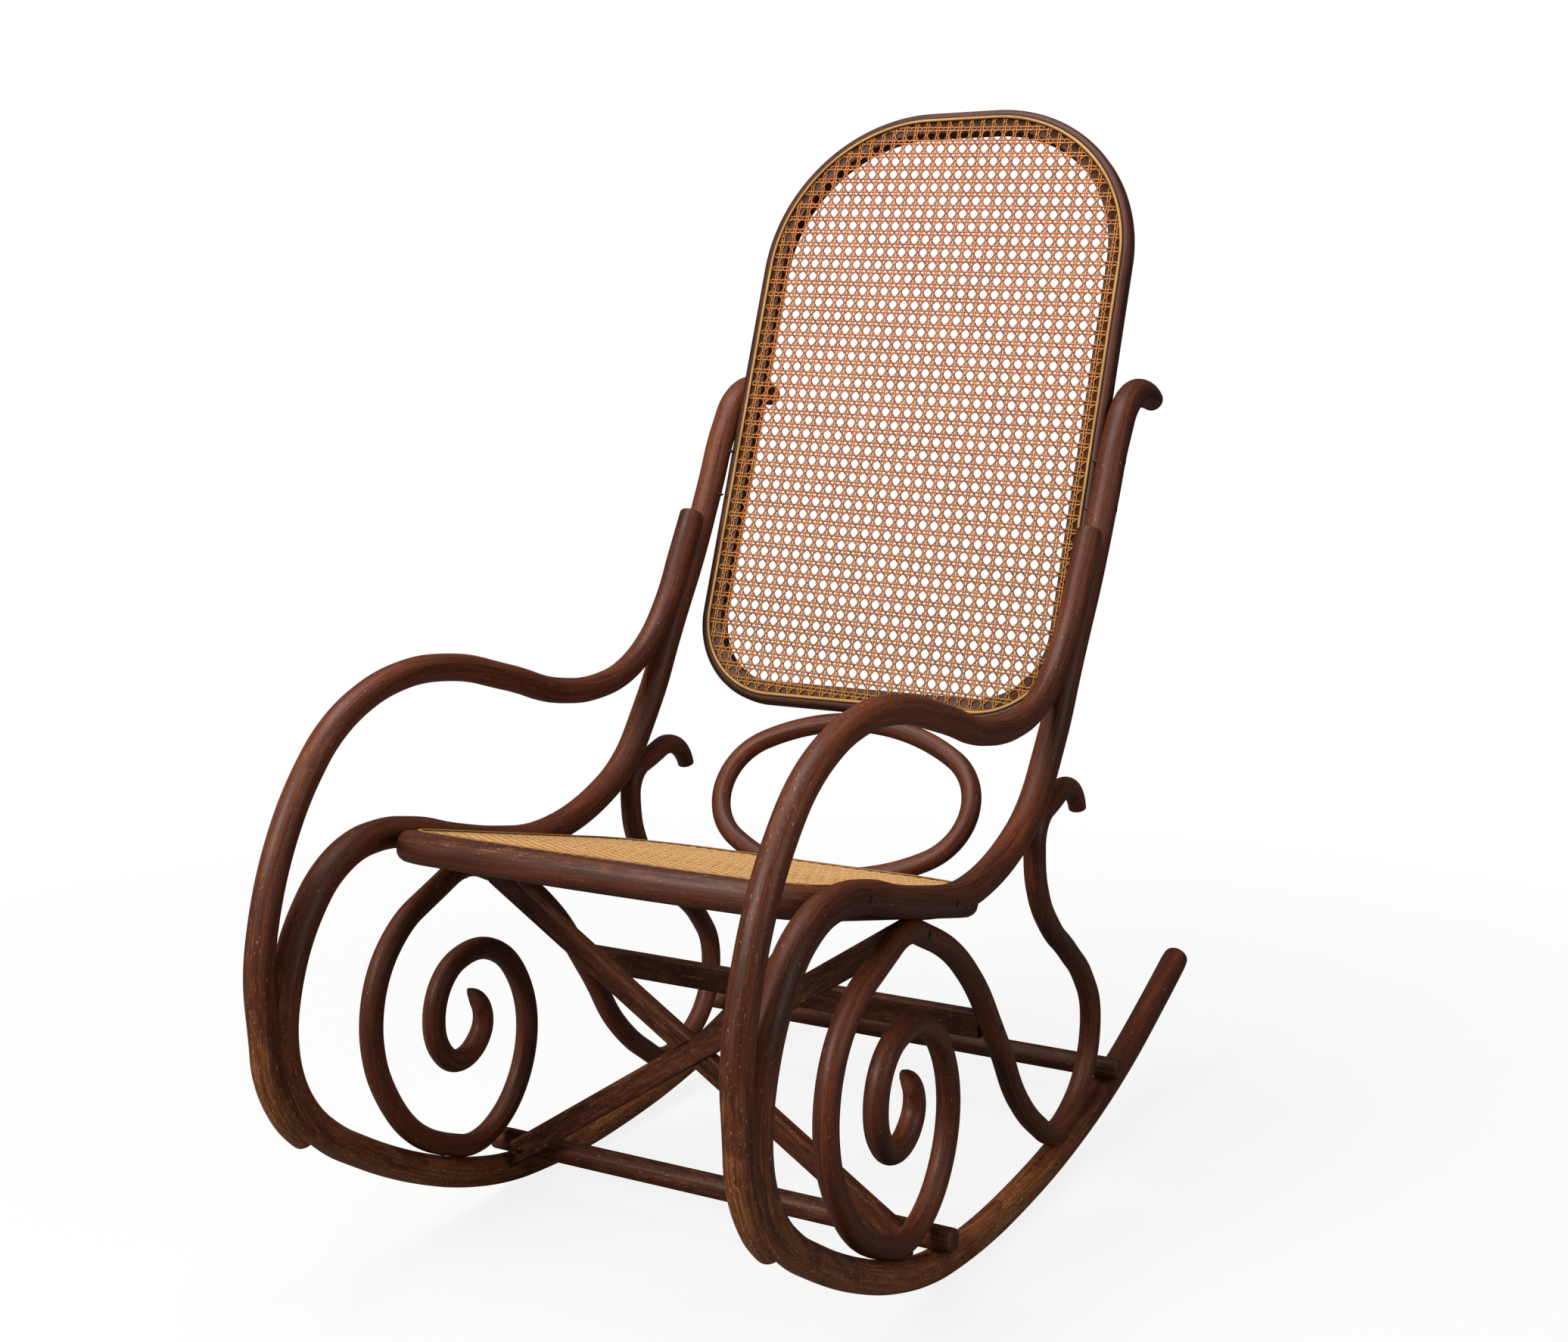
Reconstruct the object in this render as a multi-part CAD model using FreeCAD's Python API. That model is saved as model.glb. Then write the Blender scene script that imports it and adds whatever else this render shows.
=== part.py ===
import FreeCAD, Part
import os
from math import atan2, cos, degrees, radians, sin, sqrt, tan

# Bentwood rocking chair, in millimetres. Front towards -Y, up +Z, the sitter's left +X.
# Each side is one flat frame of three steam-bent rods: the side rail (post, seat rail, front
# curve, runner), the arm in front of it and the scroll inside it. Rings, stretchers and an
# X of two bars tie the two frames together.

# overall sizes
frame_spacing = 446.0      # between the middle planes of the two side frames
frame_length = 968.0       # along the floor, front bend to tail of the runner, on centre lines
frame_height = 753.0       # crown of the post above the floor line, on centre lines

# rods
rail_d = 28.0              # side rail and runner
arm_d = 25.0
scroll_d = 21.0
stretcher_d = 22.0         # round stretchers
oval_d = 19.5              # back oval
arm_bite = 5.5             # how deep the arm's hollow takes the rail where they lie together
gap = 0.1                  # clearance in every seat, lap and screw hole
end_round = 3.0            # rounding of rod ends
scarf_length = 130.0       # slanting joint between side rail and runner
scarf_y = -105.0
scarf_rise = -2.5          # the runner's own slope there, degrees

# seat
seat_slope = 13.2          # the seat falls towards the back, degrees
seat_front_y = -402.0      # front edge of the ring
seat_front_z = 407.0
seat_length = 432.0        # ring, along its slope
seat_ring_w = 30.0         # ring, measured across
seat_ring_t = 27.0         # ring, measured through
seat_front_bow = 20.0      # how far the front bows forward
seat_front_r = 62.0        # corners
seat_back_r = 105.0
cane_t = 1.6               # woven cane
binder_w = 4.5             # strip that covers the edge of the weave
binder_t = 1.4
seat_cane_inset = 15.0     # outer edge of the ring to the outer edge of the strip

# back
back_height = 650.0        # ring, along its own plane
back_lean = 20.2           # degrees from upright
back_foot_y = 116.0        # lowest point of the ring
back_foot_z = 442.0
back_ring_w = 24.0
back_ring_t = 19.0
back_top_r = 172.0         # corners
back_low_r = 95.0
back_cane_inset = 7.5
oval_w = 294.0             # oval, outer width
oval_end_r = 55.0          # small arcs at its ends, on the centre line
oval_screw_x = 14.0        # the oval's screws, either side of the middle

# cross pieces
stretcher_end = 20.0       # round stretchers run on past the frame planes
front_stretcher_y = -175.0 # where they rest on the runners
rear_stretcher_y = 213.0
bar_h = 25.0               # flat stretcher between the scrolls
bar_t = 13.0
brace_w = 22.0             # bars of the X
brace_t = 13.0
brace_high_y = -219.0      # middle of the X's upper ends
brace_high_z = 328.0
brace_low_z = 43.0         # middle of its lower ends

# fastenings
screw_d = 4.5
head_d = 8.5
head_h = 2.4
head_sink = 1.6            # how far a head's seat lies under the wood's surface
deep_sink = 4.5            # the same on the underside of the runners
brace_screw_inset = 12.0   # lower brace screws, in from the runner's inner side

half = frame_spacing / 2.0
rail_r = rail_d / 2.0
arm_r = arm_d / 2.0
scroll_r = scroll_d / 2.0
stretcher_r = stretcher_d / 2.0
oval_r = oval_d / 2.0
screw_r = screw_d / 2.0
head_r = head_d / 2.0
run = frame_length / 968.0
rise = frame_height / 753.0


def V(x, y, z):
    return FreeCAD.Vector(x, y, z)


def side(y, z):
    """A point of the side frame, laid out at the first size and stretched with the frame."""
    return V(0, y * run, rail_r + (z - 15.0) * rise)


def circle_tangent(a, b, c):
    """Direction at b of the circle through a, b and c."""
    ab = b - a
    bc = c - b
    t = ab * (1.0 / ab.dot(ab)) + bc * (1.0 / bc.dot(bc))
    return t.normalize()


def mirrored(t, chord):
    """The direction that makes one arc of a chord whose other end has direction t."""
    u = FreeCAD.Vector(chord).normalize()
    return (u * (2.0 * t.dot(u)) - t).normalize()


def arc(p, q, t):
    """The arc from p to q that leaves p along t."""
    c = q - p
    u = FreeCAD.Vector(c).normalize()
    across = t - u * t.dot(u)
    if across.Length < 1e-5:
        return Part.LineSegment(p, q).toShape()
    turn = atan2(across.Length, t.dot(u))
    mid = p + c * 0.5 + across.normalize() * (c.Length * 0.5 * tan(turn / 2.0))
    return Part.Arc(p, mid, q).toShape()


def biarc(p, q, tp, tq):
    """Two arcs from p to q, smooth with each other and with both end directions."""
    v = q - p
    t = tp + tq
    k = 2.0 * (1.0 - tp.dot(tq))
    if k < 1e-6:
        d = v.dot(v) / (4.0 * v.dot(tq))
    else:
        d = (sqrt(v.dot(t) ** 2 + k * v.dot(v)) - v.dot(t)) / k
    joint = (p + q + (tp - tq) * d) * 0.5
    second = mirrored(tq, q - joint)
    return [arc(p, joint, tp), arc(joint, q, second)]


def bent(points, closed=False, first=None, last=None):
    """Centre line of a bent rod: arcs, all tangent, through the given points."""
    n = len(points)
    if closed:
        t = [circle_tangent(points[i - 1], points[i], points[(i + 1) % n]) for i in range(n)]
        pairs = [(i, (i + 1) % n) for i in range(n)]
    else:
        t = [circle_tangent(points[i - 1], points[i], points[i + 1]) for i in range(1, n - 1)]
        t = [first or mirrored(t[0], points[1] - points[0])] + t
        t = t + [last or mirrored(t[-1], points[-1] - points[-2])]
        pairs = [(i, i + 1) for i in range(n - 1)]
    edges = []
    for i, j in pairs:
        edges += biarc(points[i], points[j], t[i], t[j])
    return Part.Wire(edges)


def start_direction(edge):
    return edge.tangentAt(edge.FirstParameter)


def round_section(centre, direction, r):
    return Part.Wire(Part.Circle(centre, direction, r).toShape())


def rod(wire, r):
    """A round rod along a centre line."""
    first = wire.OrderedEdges[0]
    p = wire.OrderedVertexes[0].Point
    return wire.makePipeShell([round_section(p, start_direction(first), r)], True, False)


def nearest(wire, p):
    """The point of a centre line nearest to p."""
    return wire.distToShape(Part.Vertex(p))[1][0][0]


def beside(wire, p, distance):
    """The point towards p that lies at a set distance from a centre line."""
    n = nearest(wire, p)
    return n + (p - n).normalize() * distance


def rounded_end(solid, p, r):
    """Rounds the rim of the end face that lies at p."""
    rims = [e for e in solid.Edges if (e.CenterOfMass - p).Length < 0.5 and e.Length > 3.0 * r]
    return solid.makeFillet(r * end_round / rail_r, rims)


def block(size, centre, rotation):
    """A box of the given size round its centre."""
    box = Part.makeBox(size.x, size.y, size.z, size * -0.5)
    box.Placement = FreeCAD.Placement(centre, rotation)
    return box


def spin(profile, base, axis):
    """A turned piece from (radius, height) pairs along an axis."""
    points = [V(r, 0, h) for r, h in profile]
    face = Part.Face(Part.makePolygon(points + [points[0]]))
    solid = face.revolve(V(0, 0, 0), V(0, 0, 1), 360)
    solid.Placement = FreeCAD.Placement(base, FreeCAD.Rotation(V(0, 0, 1), axis))
    return solid


def screw(seat, inward, length):
    """A round-headed wood screw with a slot; the underside of its head is at seat."""
    r = screw_r
    k = head_r
    dome = [(0, head_h), (0.45 * k, 0.93 * head_h), (0.8 * k, 0.6 * head_h), (k, 0)]
    shank = [(r, 0), (r, -length * 0.45), (r * 0.75, -length * 0.5), (r * 0.75, -length + 3), (0, -length)]
    solid = spin(dome + shank, seat, inward * -1.0)
    turn = FreeCAD.Rotation(V(0, 0, 1), inward * -1.0)
    slot = block(V(head_d, head_h * 0.4, head_h), seat - inward * (head_h * 1.1), turn)
    return solid.cut(slot)


def screw_hole(seat, inward, length):
    """The hole that a screw and its head need, with their clearance."""
    r = screw_r + gap
    k = head_r + gap
    profile = [(0, 30), (k, 30), (k, 0), (r, 0), (r, -length - gap), (0, -length - gap)]
    return spin(profile, seat, inward * -1.0)


def mirror(shape):
    return shape.mirror(V(0, 0, 0), V(1, 0, 0))


# centre lines of one side frame, on the plane x = 0
rail_points = [side(y, z) for y, z in (
    (324, 750), (298, 757), (270, 758), (243, 746), (219, 715), (189, 655), (157, 594), (106, 511),
    (68, 446), (8, 378), (-36, 357), (-85, 344), (-140, 340), (-205, 350), (-260, 364),
    (-315, 381), (-360, 388), (-395, 385), (-429, 369), (-459, 337), (-481, 293), (-490, 245),
    (-484, 205), (-464, 168), (-436, 140), (-395, 112), (-325, 73), (-262, 46), (-190, 25.5),
    (-130, 17.9), (-68, 15), (0, 16.8))]
tail_points = [side(y, z) for y, z in ((-190, 25.5), (-130, 17.9), (-68, 15), (0, 16.8), (90, 24.3),
                                       (190, 41), (285, 66), (375, 98), (456, 130))]
rail_line = bent(rail_points)
tail_line = bent(tail_points)
floor_line = bent(rail_points + tail_points[4:])

touch = rail_r + scroll_r + gap
loop_back = beside(floor_line, side(90, 56), touch)
loop_top = beside(floor_line, side(-245, 333), touch)
loop_front = beside(floor_line, side(-284, 82), touch)
hook_side = beside(floor_line, side(42, 360), touch)
scroll_points = [side(137, 362), side(124, 381), side(100, 390), side(72, 384), hook_side,
                 side(31, 326), side(43, 294), side(73, 259), side(118, 225), side(160, 189),
                 side(184, 152), side(185, 118), side(168, 82), side(134, 58), loop_back,
                 side(41, 76), side(1, 111), side(-52, 185), side(-112, 260), side(-150, 292),
                 side(-195, 317), loop_top, side(-295, 320), side(-338, 300), side(-368, 266),
                 side(-380, 225), side(-377, 188), side(-360, 148), side(-328, 108), loop_front,
                 side(-238, 68), side(-194, 84), side(-167, 116), side(-156, 158), side(-167, 205),
                 side(-197, 240), side(-240, 253), side(-278, 240), side(-295, 208), side(-290, 176),
                 side(-265, 155), side(-238, 161), side(-224, 183), side(-231, 203), side(-248, 211)]
scroll_line = bent(scroll_points)

together = rail_r + arm_r - arm_bite
arm_head = beside(floor_line, side(143, 636), together)
arm_neck = beside(floor_line, side(125, 592), together + 1)
arm_low = [beside(floor_line, side(-520, 256), together), beside(floor_line, side(-512, 214), together - 2),
           beside(floor_line, side(-492, 180), together - 5), beside(floor_line, side(-468, 150), together - 9)]
arm_points = [arm_head, arm_neck, side(104, 546), side(71, 508), side(18, 478), side(-37, 470),
              side(-97, 476), side(-177, 500), side(-250, 519), side(-318, 523), side(-366, 514),
              side(-418, 488), side(-455, 450), side(-485, 401), side(-504, 350), side(-513, 300)] + arm_low
arm_line = bent(arm_points)

out = V(half, 0, 0)


def rail_and_runner():
    """The side rail and the runner behind it, joined by a long slanting scarf."""
    front = rod(rail_line, rail_r)
    front = rounded_end(front, rail_points[0], rail_r)
    back = rod(tail_line, rail_r)
    back = rounded_end(back, tail_points[-1], rail_r)
    reach = scarf_length
    slant = degrees(atan2(rail_d, scarf_length))
    middle = nearest(floor_line, side(scarf_y, 20))
    turn = FreeCAD.Rotation(V(1, 0, 0), slant + scarf_rise)
    up = turn.multVec(V(0, 0, 1))
    under = block(V(60, 3 * reach, 60), middle - up * (30 - gap / 2), turn)
    over = block(V(60, 3 * reach, 60), middle + up * (30 + gap / 2), turn)
    return front.cut(under), back.cut(over)


def coped_arm():
    """The arm, hollowed where it lies on the post and on the front curve."""
    arm = rod(arm_line, arm_r)
    arm = rounded_end(arm, arm_points[0], arm_r)
    arm = rounded_end(arm, arm_points[-1], arm_r)
    return arm.cut(rod(floor_line, rail_r + gap))


def scroll_rod():
    """The scroll, hollowed a little where it rests on the side rail and the runner."""
    scroll = rod(scroll_line, scroll_r)
    scroll = rounded_end(scroll, scroll_points[0], scroll_r)
    scroll = rounded_end(scroll, scroll_points[-1], scroll_r)
    return scroll.cut(rod(floor_line, rail_r + gap))


def outline(half_w, length, near_r, far_r, bow, inset):
    """A rounded frame outline, drawn forwards from y = 0, its near edge bowed outwards."""
    w = half_w - inset
    y0 = bow + inset
    y1 = length - inset
    near = Part.Arc(V(-w, y0, 0), V(0, inset, 0), V(w, y0, 0)).toShape() if bow else \
        Part.LineSegment(V(-w, y0, 0), V(w, y0, 0)).toShape()
    corners = [V(w, y0, 0), V(w, y1, 0), V(-w, y1, 0), V(-w, y0, 0)]
    sides = [Part.LineSegment(corners[i], corners[i + 1]).toShape() for i in range(3)]
    plate = Part.Face(Part.Wire([near] + sides)).extrude(V(0, 0, 1))
    rims = [[], []]
    for e in plate.Edges:
        if abs(e.Vertexes[0].Point.z - e.Vertexes[-1].Point.z) > 0.5:
            rims[0 if e.Vertexes[0].Point.y < length / 2 else 1].append(e)
    plate = plate.makeFillet(near_r - inset, rims[0])
    rims = [e for e in plate.Edges if abs(e.Vertexes[0].Point.z - e.Vertexes[-1].Point.z) > 0.5
            and e.Vertexes[0].Point.y > y1 - 1]
    plate = plate.makeFillet(far_r - inset, rims)
    face = [f for f in plate.Faces if f.CenterOfMass.z < 0.001][0]
    return face.OuterWire


def slab(shape_of, inset, low, high, hole=None):
    """A flat piece of the outline, from height low to high, with a hole at a deeper inset."""
    solid = Part.Face(shape_of(inset)).extrude(V(0, 0, high - low))
    if hole is not None:
        solid = solid.cut(Part.Face(shape_of(hole)).extrude(V(0, 0, high - low)))
    solid.translate(V(0, 0, low))
    return solid


def caned_frame(shape_of, width, thick, inset, soft):
    """A frame with its cane panel in a rebate and the strip that covers the panel's edge."""
    frame = slab(shape_of, 0, -thick, 0, width)
    outer = [e for e in frame.Edges if abs(e.BoundBox.ZLength) < 0.01 and shape_of(0).distToShape(
        Part.Vertex(V(e.CenterOfMass.x, e.CenterOfMass.y, 0)))[0] < width / 4]
    frame = frame.makeFillet(soft, outer)
    rebate = slab(shape_of, inset, -cane_t, 1)
    frame = frame.cut(rebate)
    cane = slab(shape_of, inset + gap, -cane_t + gap / 2, 0)
    strip = slab(shape_of, inset + gap, gap / 2, binder_t, inset + binder_w)
    crown = [e for e in strip.Edges if e.BoundBox.ZMin > binder_t - 0.01]
    strip = strip.makeFillet(binder_t * 0.6, crown)
    return frame, cane, strip


def seat_outline(inset):
    return outline(half - rail_r - gap, seat_length, seat_front_r, seat_back_r, seat_front_bow, inset)


def back_outline(inset):
    return outline(half - rail_r - gap, back_height, back_low_r, back_top_r, 0.0, inset)


def seat():
    spot = FreeCAD.Placement(V(0, seat_front_y * run, side(0, seat_front_z).z),
                             FreeCAD.Rotation(V(1, 0, 0), -seat_slope))
    pieces = caned_frame(seat_outline, seat_ring_w, seat_ring_t, seat_cane_inset, seat_ring_t * 0.4)
    return [spot_of(p, spot) for p in pieces], spot


def spot_of(shape, spot):
    moved = shape.copy()
    moved.Placement = spot.multiply(shape.Placement)
    return moved


def back():
    spot = FreeCAD.Placement(V(0, back_foot_y * run, side(0, back_foot_z).z),
                             FreeCAD.Rotation(V(1, 0, 0), 90 - back_lean))
    pieces = caned_frame(back_outline, back_ring_w, back_ring_t, back_cane_inset, back_ring_t * 0.3)
    return [spot_of(p, spot) for p in pieces], spot


def oval_centre_line(half_w, half_h, end_r):
    """A four-centred oval: two small end arcs joined by two wide ones."""
    wide_r = (half_w ** 2 + half_h ** 2 - 2.0 * half_w * end_r) / (2.0 * (half_h - end_r))
    end_x = half_w - end_r
    turn = atan2(end_x, wide_r - half_h)
    knot = V(end_x + end_r * sin(turn), end_r * cos(turn), 0)
    knots = [V(-knot.x, knot.y, 0), knot, V(knot.x, -knot.y, 0), V(-knot.x, -knot.y, 0)]
    tops = [V(0, half_h, 0), V(half_w, 0, 0), V(0, -half_h, 0), V(-half_w, 0, 0)]
    return Part.Wire([Part.Arc(knots[i], tops[i], knots[(i + 1) % 4]).toShape() for i in range(4)])


def back_oval(seat_spot, back_spot):
    """The oval between the seat ring's back edge and the back ring's lower edge."""
    foot = seat_spot.multVec(V(0, seat_length + oval_r + gap, -seat_ring_t / 2.0))
    head = back_spot.multVec(V(0, -oval_r - gap, -back_ring_t / 2.0))
    rise_angle = degrees(atan2(head.z - foot.z, head.y - foot.y))
    line = oval_centre_line(oval_w / 2.0 - oval_r, (head - foot).Length / 2.0, oval_end_r)
    line.Placement = FreeCAD.Placement((foot + head) * 0.5, FreeCAD.Rotation(V(1, 0, 0), rise_angle))
    edge = line.OrderedEdges[0]
    start = edge.valueAt(edge.FirstParameter)
    ring = line.makePipeShell([round_section(start, start_direction(edge), oval_r)], True, False)
    return ring, foot, head


def round_stretcher(middle):
    """A round bar across the frames, with rounded ends."""
    reach = half + stretcher_end
    bar = Part.makeCylinder(stretcher_r, 2.0 * reach, V(-reach, middle.y, middle.z), V(1, 0, 0))
    return bar.makeFillet(end_round, [e for e in bar.Edges if e.Length > 3.0 * stretcher_r and
                                      abs(abs(e.CenterOfMass.x) - reach) < 0.1])


def flat_bar(length, height, thick):
    """A flat bar along X with softened long edges."""
    bar = block(V(length, thick, height), V(0, 0, 0), FreeCAD.Rotation())
    return bar.makeFillet(thick * 0.25, [e for e in bar.Edges if abs(e.BoundBox.XLength - length) < 0.1])


def upper_stretcher(middle):
    bar = flat_bar(2.0 * (half - scroll_r - gap), bar_h, bar_t)
    bar.translate(middle)
    return bar


def braces(low_y):
    """Two flat bars that cross in one plane, halved over each other in the middle."""
    high = V(0, brace_high_y * run, side(0, brace_high_z).z)
    low = V(0, low_y, side(0, brace_low_z).z)
    centre = (high + low) * 0.5
    up = (high - low).normalize()
    lean = degrees(atan2(-up.y, up.z))
    reach = half - scroll_r - gap
    slope = degrees(atan2((high - low).Length / 2.0, reach))
    tall = V(0, 0, (high - low).Length)
    space = block(V(2.0 * reach, 400, tall.z), centre + tall * 0.5, FreeCAD.Rotation())
    space = space.fuse(block(V(2.0 * (half - rail_r - gap), 400, tall.z), centre - tall * 0.5, FreeCAD.Rotation()))
    pair = []
    for way in (1, -1):
        bar = flat_bar(3.0 * reach, brace_w, brace_t)
        bar.rotate(V(0, 0, 0), V(0, 1, 0), way * slope)
        lap = block(V(3.0 * reach, 2.0 * brace_t, brace_w + 2 * gap), V(0, 0, 0), FreeCAD.Rotation())
        lap.rotate(V(0, 0, 0), V(0, 1, 0), -way * slope)
        front_half = block(V(4 * brace_w, brace_t, 4 * brace_w), V(0, -way * (brace_t - gap) / 2.0, 0),
                           FreeCAD.Rotation())
        bar = bar.cut(lap.common(front_half))
        bar.rotate(V(0, 0, 0), V(1, 0, 0), lean)
        bar.translate(centre)
        pair.append(bar.common(space))
    return pair, centre, up, slope


# the left side frame, the middle pieces and the screws between them
frame = {}
frame["side_rail"], frame["runner"] = rail_and_runner()
frame["arm"] = coped_arm()
frame["scroll"] = scroll_rod()
for name in frame:
    frame[name].translate(out)

middle = {}
(middle["seat_ring"], middle["seat_cane"], middle["seat_binder"]), seat_spot = seat()
(middle["back_ring"], middle["back_cane"], middle["back_binder"]), back_spot = back()
middle["back_oval"], oval_foot, oval_head = back_oval(seat_spot, back_spot)
front_v = beside(floor_line, side(front_stretcher_y, 90), rail_r + stretcher_r + gap)
rear_v = beside(floor_line, side(rear_stretcher_y, 110), rail_r + stretcher_r + gap)
bar_middle = nearest(scroll_line, side(-62, 205))
middle["front_stretcher"] = round_stretcher(front_v)
middle["rear_stretcher"] = round_stretcher(rear_v)
middle["upper_stretcher"] = upper_stretcher(bar_middle)
(middle["brace_right"], middle["brace_left"]), brace_centre, brace_up, brace_slope = braces(
    front_v.y - stretcher_r - gap - brace_t / 2.0)

screws = {}
cutters = {name: [] for name in list(frame) + list(middle)}


def fasten(group, names, seat_point, inward, length):
    """One screw of the left half, its mirror image, and their holes in the named pieces."""
    inward = FreeCAD.Vector(inward).normalize()
    solid = screw(seat_point, inward, length)
    hole = screw_hole(seat_point, inward, length)
    screws.setdefault(group, []).extend([solid, mirror(solid)])
    for name in names:
        cutters[name].append(hole)
        if name in middle:
            cutters[name].append(mirror(hole))


def fasten_rods(group, names, line_a, r_a, line_b, r_b, near, sink=head_sink):
    """A screw through the rod on line_a into the rod on line_b, where they touch."""
    a = nearest(line_a, near)
    b = nearest(line_b, a)
    inward = (b - a).normalize()
    fasten(group, names, a + out - inward * (r_a - sink), inward, (b - a).Length + r_a - sink + 0.3 * r_b)


def fasten_across(group, names, centre, r, depth):
    """A screw from the outer side of a frame rod, straight in along X."""
    fasten(group, names, centre + out + V(r - head_sink, 0, 0), V(-1, 0, 0), 2.0 * r - head_sink + depth)


for y, z in ((-335, 386), (-173, 345)):
    fasten_across("seat_screws", ["side_rail", "seat_ring"], nearest(floor_line, side(y, z)), rail_r, 18)
for y, z in ((187, 648), (208, 693)):
    fasten_across("back_screws", ["side_rail", "back_ring"], nearest(floor_line, side(y, z)), rail_r, 6)
for y, z in ((138, 622), (-515, 262), (-500, 196)):
    fasten_rods("arm_screws", ["side_rail", "arm"], floor_line, rail_r, arm_line, arm_r, side(y, z))
for names, point in ((["scroll", "side_rail"], loop_top), (["scroll", "side_rail"], hook_side)):
    fasten_rods("scroll_screws", names, scroll_line, scroll_r, floor_line, rail_r, point)
for names, point in ((["side_rail", "scroll"], loop_front), (["runner", "scroll"], loop_back)):
    under = nearest(floor_line, point)
    fasten_rods("scroll_screws", names, floor_line, rail_r, scroll_line, scroll_r, under, deep_sink)
for names, point in ((["side_rail", "front_stretcher"], front_v), (["runner", "rear_stretcher"], rear_v)):
    under = nearest(floor_line, point)
    inward = (point - under).normalize()
    fasten("stretcher_screws", names, under + out - inward * (rail_r - deep_sink), inward,
           2.0 * rail_r - deep_sink + stretcher_r)
fasten_across("stretcher_screws", ["scroll", "upper_stretcher"], bar_middle, scroll_r, 22)
fasten_across("brace_screws", ["scroll", "brace_left", "brace_right"],
              nearest(scroll_line, side(brace_high_y, 330)), scroll_r, 20)
brace_back = V(0, brace_up.z, -brace_up.y)
brace_x = half - rail_r - brace_screw_inset
brace_foot = brace_centre + V(brace_x, 0, 0) - brace_up * (brace_x * tan(radians(brace_slope)))
fasten("brace_screws", ["brace_left", "brace_right", "front_stretcher"], brace_foot - brace_back * (brace_t / 2.0 - 1.0),
       brace_back, brace_t + stretcher_r * 1.2)
seat_back_way = seat_spot.Rotation.multVec(V(0, 1, 0))
back_up = back_spot.Rotation.multVec(V(0, 1, 0))
aside = V(oval_screw_x, 0, 0)
fasten("oval_screws", ["back_oval", "seat_ring"], oval_foot + aside + seat_back_way * (oval_r - head_sink),
       seat_back_way * -1.0, oval_d - head_sink + 15)
fasten("oval_screws", ["back_oval", "back_ring"], oval_head + aside - back_up * (oval_r - head_sink),
       back_up, oval_d - head_sink + 12)
for y in (scarf_y - scarf_length / 5.0, scarf_y + scarf_length / 5.0):
    a = nearest(floor_line, side(y, 20))
    fasten("runner_screws", ["runner", "side_rail"], a + out - V(0, 0, rail_r - deep_sink), V(0, 0, 1),
           rail_d - deep_sink - 3.0)

for name in frame:
    if cutters[name]:
        frame[name] = frame[name].cut(cutters[name])
for name in middle:
    if cutters[name]:
        middle[name] = middle[name].cut(cutters[name])

# every node by name; the right side is the mirror image of the left
nodes = {}
for name, solid in frame.items():
    nodes[name + "_left"] = solid
    nodes[name + "_right"] = mirror(solid)
nodes.update(middle)
for name, solids in screws.items():
    nodes[name] = Part.makeCompound(solids)

# the origin is on the floor under the middle of the chair's box
box = FreeCAD.BoundBox()
for shape in nodes.values():
    box.add(shape.optimalBoundingBox())
shift = V(-box.Center.x, -box.Center.y, -box.ZMin)
os.makedirs("parts", exist_ok=True)
for name, shape in nodes.items():
    shape.translate(shift)
    shape.exportStep("parts/" + name + ".step")
print("rail", round(floor_line.Length), "scroll", round(scroll_line.Length), "arm", round(arm_line.Length))
print("box", [round(v, 1) for v in (box.XLength, box.YLength, box.ZLength)], "shift", shift)
print(len(nodes), "nodes")
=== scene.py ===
import bpy
import numpy as np
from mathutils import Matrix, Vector


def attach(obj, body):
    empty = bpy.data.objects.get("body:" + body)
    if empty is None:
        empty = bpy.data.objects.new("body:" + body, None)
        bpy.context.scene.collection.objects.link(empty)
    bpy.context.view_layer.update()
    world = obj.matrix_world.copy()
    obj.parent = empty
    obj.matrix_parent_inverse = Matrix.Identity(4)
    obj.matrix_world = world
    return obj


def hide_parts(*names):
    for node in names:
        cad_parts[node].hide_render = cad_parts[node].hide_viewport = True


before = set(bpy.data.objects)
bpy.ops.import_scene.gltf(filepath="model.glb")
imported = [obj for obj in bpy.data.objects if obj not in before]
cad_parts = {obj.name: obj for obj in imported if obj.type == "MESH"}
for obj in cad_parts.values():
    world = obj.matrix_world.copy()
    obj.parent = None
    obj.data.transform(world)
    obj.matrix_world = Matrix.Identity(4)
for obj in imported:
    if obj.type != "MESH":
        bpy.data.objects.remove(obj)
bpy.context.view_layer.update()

# Sizes in metres and angles in radians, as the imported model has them, with the rounder oval
# ends and the slanting scroll tips of the photograph

MM = 0.001
FRAME_X = 223 * MM
RAIL_R = 14 * MM
ARM_R = 12.5 * MM
SCROLL_R = 10.5 * MM
OVAL_R = 9.75 * MM
OVAL_HALF_W = 147 * MM
OVAL_END_R = 63 * MM
GAP = 0.1 * MM
ARM_BITE = 5.5 * MM
SCARF_LENGTH = 130 * MM
NIB = 26 * MM
RING_HALF_W = 208.9 * MM
SEAT_SLOPE = np.radians(13.2)
BACK_LEAN = np.radians(20.2)
SEAT_EDGE = (-369.36 * MM, 405.05 * MM)
BACK_EDGE = (148.64 * MM, 440.05 * MM)
SEAT_LENGTH = 432 * MM
SEAT_FRONT_R = 62 * MM
SEAT_BACK_R = 105 * MM
SEAT_BOW = 20 * MM
BACK_LENGTH = 650 * MM
BACK_LOW_R = 95 * MM
BACK_TOP_R = 172 * MM
SEAT_RING_W = 30 * MM
SEAT_RING_T = 27 * MM
SEAT_REBATE = 15 * MM
BACK_RING_W = 24 * MM
BACK_RING_T = 19 * MM
BACK_REBATE = 7.5 * MM
REBATE_DEPTH = 1.6 * MM
BRACE_TURN = 0.587
CANE_PITCH = 12.7 * MM
SEAT_ROW_PITCH = 12.9 * MM
BACK_ROW_PITCH = 14.6 * MM
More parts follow.
